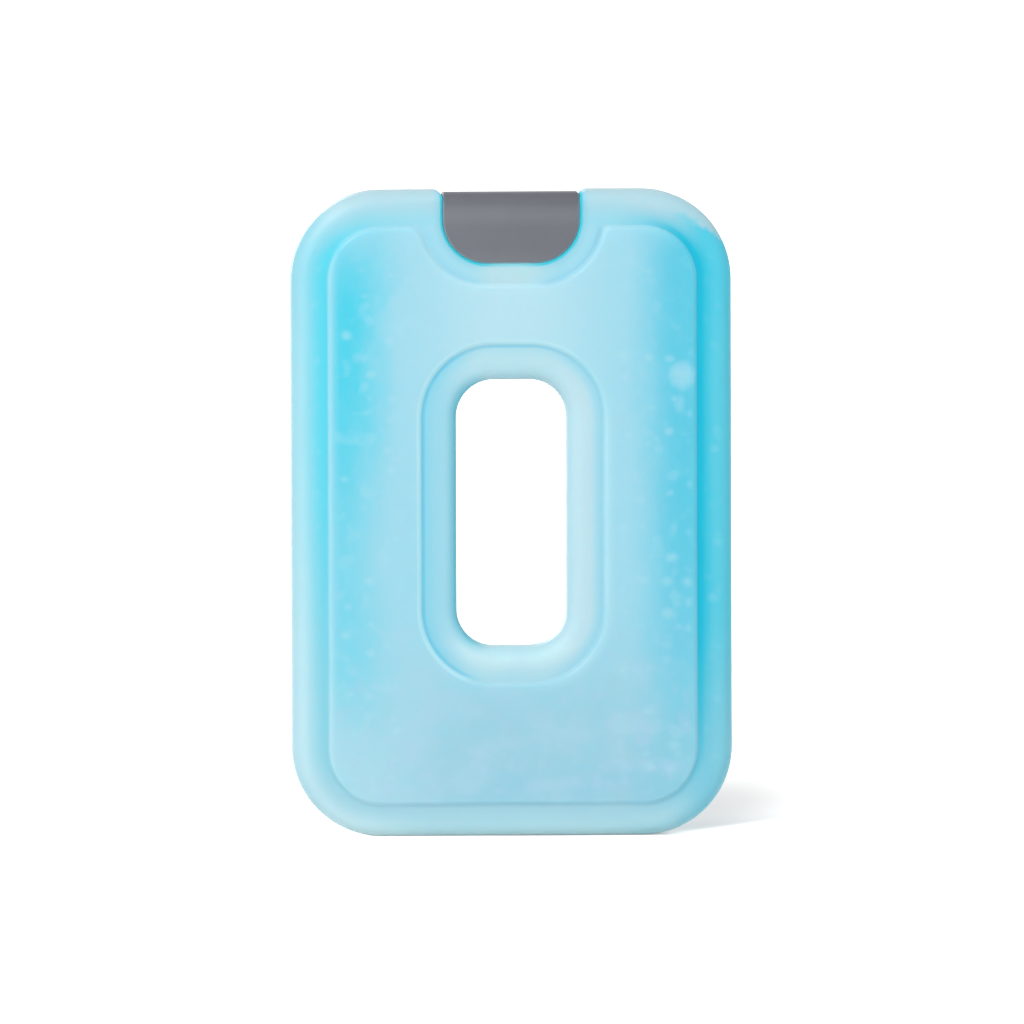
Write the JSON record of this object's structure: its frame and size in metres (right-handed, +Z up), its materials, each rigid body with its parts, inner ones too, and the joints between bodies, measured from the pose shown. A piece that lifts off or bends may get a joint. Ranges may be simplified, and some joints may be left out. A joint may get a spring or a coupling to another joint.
{
  "type": "reusable ice pack",
  "caption": "Slim upright hard-shell ice pack: a translucent blue blown shell with a hand hole and raised panels, a frozen filling and a grey cap in its top edge.",
  "frame": {"origin": "under the middle of the flat bottom edge, in the middle plane of the thickness", "axes": "+Z up along the long side, -Y out of the front face, +X to the right of someone who looks at the front"},
  "size_m": [0.14, 0.02, 0.2055],
  "materials": {
    "translucent_shell": "satin",
    "grey_cap": "matte",
    "frozen_filling": "gloss",
    "plug": "satin"
  },
  "bodies": {
    "root": {"shell": "translucent_shell", "cap": "grey_cap", "coolant": "frozen_filling", "filler_plug": "plug"}
  },
  "joints": []
}
